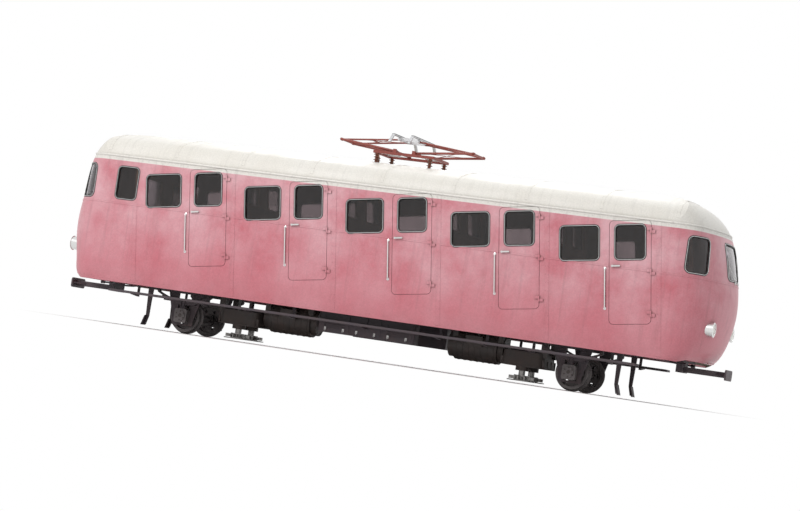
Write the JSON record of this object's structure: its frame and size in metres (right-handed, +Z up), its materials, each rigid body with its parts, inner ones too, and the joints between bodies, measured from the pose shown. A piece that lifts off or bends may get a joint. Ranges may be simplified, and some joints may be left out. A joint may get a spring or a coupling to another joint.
{
  "type": "rack railway railcar",
  "caption": "Two-axle electric rack railcar with stepped compartments, side doors, rounded noses, horizontal rack pinions and a folding pantograph.",
  "frame": {"origin": "midway between the axles at the height of the wheels' lowest points", "axes": "+X towards the downhill end, +Y to the left of the downhill direction, +Z up"},
  "size_m": [10.38, 2.26, 3.3732],
  "materials": {
    "body_red": "chalky faded enamel",
    "roof_cream": "matt enamel",
    "window_glass": "clear",
    "underframe_grey": "dusty matt",
    "running_iron": "oily, dusty",
    "pinion_steel": "greased",
    "floor_cover": "worn sheet",
    "partition_wood": "varnished",
    "bench_wood": "varnished",
    "desk_grey": "satin",
    "lamp_metal": "polished",
    "panto_red": "satin",
    "strip_metal": "worn bright"
  },
  "bodies": {
    "root": {"axle_guards": "underframe_grey", "axleboxes": "running_iron", "benches": "bench_wood", "buffers": "underframe_grey", "drive_housing_downhill": "running_iron", "drive_housing_uphill": "running_iron", "driver_desks": "desk_grey", "equipment_boxes": "underframe_grey", "floor": "floor_cover", "footboards": "underframe_grey", "headlamps": "lamp_metal", "leaf_springs": "underframe_grey", "nose_downhill": "body_red", "nose_glass_downhill": "window_glass", "nose_glass_uphill": "window_glass", "nose_uphill": "body_red", "panto_base": "panto_red", "partitions": "partition_wood", "rail_guards": "underframe_grey", "roof": "roof_cream", "side_wall_left": "body_red", "side_wall_right": "body_red", "side_windows": "window_glass", "traction_motors": "running_iron", "underframe": "underframe_grey"},
    "door_right_1": {"door_right_1": "body_red"},
    "door_right_2": {"door_right_2": "body_red"},
    "door_right_3": {"door_right_3": "body_red"},
    "door_right_4": {"door_right_4": "body_red"},
    "door_right_5": {"door_right_5": "body_red"},
    "door_left_1": {"door_left_1": "body_red"},
    "door_left_2": {"door_left_2": "body_red"},
    "door_left_3": {"door_left_3": "body_red"},
    "door_left_4": {"door_left_4": "body_red"},
    "door_left_5": {"door_left_5": "body_red"},
    "wheelset_uphill": {"wheelset_uphill": "running_iron"},
    "pinion_uphill_left": {"pinion_uphill_left": "pinion_steel"},
    "pinion_uphill_right": {"pinion_uphill_right": "pinion_steel"},
    "wheelset_downhill": {"wheelset_downhill": "running_iron"},
    "pinion_downhill_left": {"pinion_downhill_left": "pinion_steel"},
    "pinion_downhill_right": {"pinion_downhill_right": "pinion_steel"},
    "panto_lower_uphill": {"panto_lower_uphill": "panto_red"},
    "panto_upper_uphill": {"panto_upper_uphill": "panto_red"},
    "panto_lower_downhill": {"panto_lower_downhill": "panto_red"},
    "panto_upper_downhill": {"panto_upper_downhill": "panto_red"},
    "panto_head": {"panto_head": "strip_metal"}
  },
  "joints": [
    {"name": "door_right_1_hinge", "type": "hinge", "parent": "root", "child": "door_right_1", "pos_m": [-2.40174, -1.116, 2.21145], "axis": [-0.1392, 0, 0.9903], "range_deg": [0, 85]},
    {"name": "door_right_2_hinge", "type": "hinge", "parent": "root", "child": "door_right_2", "pos_m": [-0.78174, -1.116, 2.21145], "axis": [-0.1392, 0, 0.9903], "range_deg": [0, 85]},
    {"name": "door_right_3_hinge", "type": "hinge", "parent": "root", "child": "door_right_3", "pos_m": [0.83826, -1.116, 2.21145], "axis": [-0.1392, 0, 0.9903], "range_deg": [0, 85]},
    {"name": "door_right_4_hinge", "type": "hinge", "parent": "root", "child": "door_right_4", "pos_m": [2.45826, -1.116, 2.21145], "axis": [-0.1392, 0, 0.9903], "range_deg": [0, 85]},
    {"name": "door_right_5_hinge", "type": "hinge", "parent": "root", "child": "door_right_5", "pos_m": [4.07826, -1.116, 2.21145], "axis": [-0.1392, 0, 0.9903], "range_deg": [0, 85]},
    {"name": "door_left_1_hinge", "type": "hinge", "parent": "root", "child": "door_left_1", "pos_m": [-2.40174, 1.116, 2.21145], "axis": [0.1392, 0, -0.9903], "range_deg": [0, 85]},
    {"name": "door_left_2_hinge", "type": "hinge", "parent": "root", "child": "door_left_2", "pos_m": [-0.78174, 1.116, 2.21145], "axis": [0.1392, 0, -0.9903], "range_deg": [0, 85]},
    {"name": "door_left_3_hinge", "type": "hinge", "parent": "root", "child": "door_left_3", "pos_m": [0.83826, 1.116, 2.21145], "axis": [0.1392, 0, -0.9903], "range_deg": [0, 85]},
    {"name": "door_left_4_hinge", "type": "hinge", "parent": "root", "child": "door_left_4", "pos_m": [2.45826, 1.116, 2.21145], "axis": [0.1392, 0, -0.9903], "range_deg": [0, 85]},
    {"name": "door_left_5_hinge", "type": "hinge", "parent": "root", "child": "door_left_5", "pos_m": [4.07826, 1.116, 2.21145], "axis": [0.1392, 0, -0.9903], "range_deg": [0, 85]},
    {"name": "wheelset_uphill_spin", "type": "hinge", "parent": "root", "child": "wheelset_uphill", "pos_m": [-3.05, 0, 0.265], "axis": [0, 1, 0], "continuous": true},
    {"name": "pinion_uphill_left_spin", "type": "hinge", "parent": "root", "child": "pinion_uphill_left", "pos_m": [-2.25, 0.24368, 0.19], "axis": [0, 0, 1], "continuous": true},
    {"name": "pinion_uphill_right_spin", "type": "hinge", "parent": "root", "child": "pinion_uphill_right", "pos_m": [-2.25, -0.24368, 0.19], "axis": [0, 0, 1], "continuous": true},
    {"name": "wheelset_downhill_spin", "type": "hinge", "parent": "root", "child": "wheelset_downhill", "pos_m": [3.05, 0, 0.265], "axis": [0, 1, 0], "continuous": true},
    {"name": "pinion_downhill_left_spin", "type": "hinge", "parent": "root", "child": "pinion_downhill_left", "pos_m": [2.25, 0.24368, 0.19], "axis": [0, 0, 1], "continuous": true},
    {"name": "pinion_downhill_right_spin", "type": "hinge", "parent": "root", "child": "pinion_downhill_right", "pos_m": [2.25, -0.24368, 0.19], "axis": [0, 0, 1], "continuous": true},
    {"name": "panto_lower_uphill_pivot", "type": "hinge", "parent": "root", "child": "panto_lower_uphill", "pos_m": [-0.15, 0, 3.13], "axis": [0, 1, 0], "range_deg": [0, 50]},
    {"name": "panto_upper_uphill_pivot", "type": "hinge", "parent": "panto_lower_uphill", "child": "panto_upper_uphill", "pos_m": [-1.04507, 0, 3.22408], "axis": [0, -1, 0], "range_deg": [0, 100]},
    {"name": "panto_lower_downhill_pivot", "type": "hinge", "parent": "root", "child": "panto_lower_downhill", "pos_m": [0.15, 0, 3.13], "axis": [0, -1, 0], "range_deg": [0, 50]},
    {"name": "panto_upper_downhill_pivot", "type": "hinge", "parent": "panto_lower_downhill", "child": "panto_upper_downhill", "pos_m": [1.04507, 0, 3.22408], "axis": [0, 1, 0], "range_deg": [0, 100]},
    {"name": "panto_head_pivot", "type": "hinge", "parent": "panto_upper_uphill", "child": "panto_head", "pos_m": [-0.15, 0, 3.31815], "axis": [0, 1, 0], "range_deg": [0, 50]}
  ],
  "couplings": [
    {"joint": "pinion_uphill_right_spin", "follows": "pinion_uphill_left_spin", "ratio": -1},
    {"joint": "pinion_downhill_right_spin", "follows": "pinion_downhill_left_spin", "ratio": -1},
    {"joint": "panto_lower_downhill_pivot", "follows": "panto_lower_uphill_pivot", "ratio": 1},
    {"joint": "panto_upper_uphill_pivot", "follows": "panto_lower_uphill_pivot", "ratio": 2},
    {"joint": "panto_upper_downhill_pivot", "follows": "panto_lower_uphill_pivot", "ratio": 2},
    {"joint": "panto_head_pivot", "follows": "panto_lower_uphill_pivot", "ratio": 1}
  ]
}
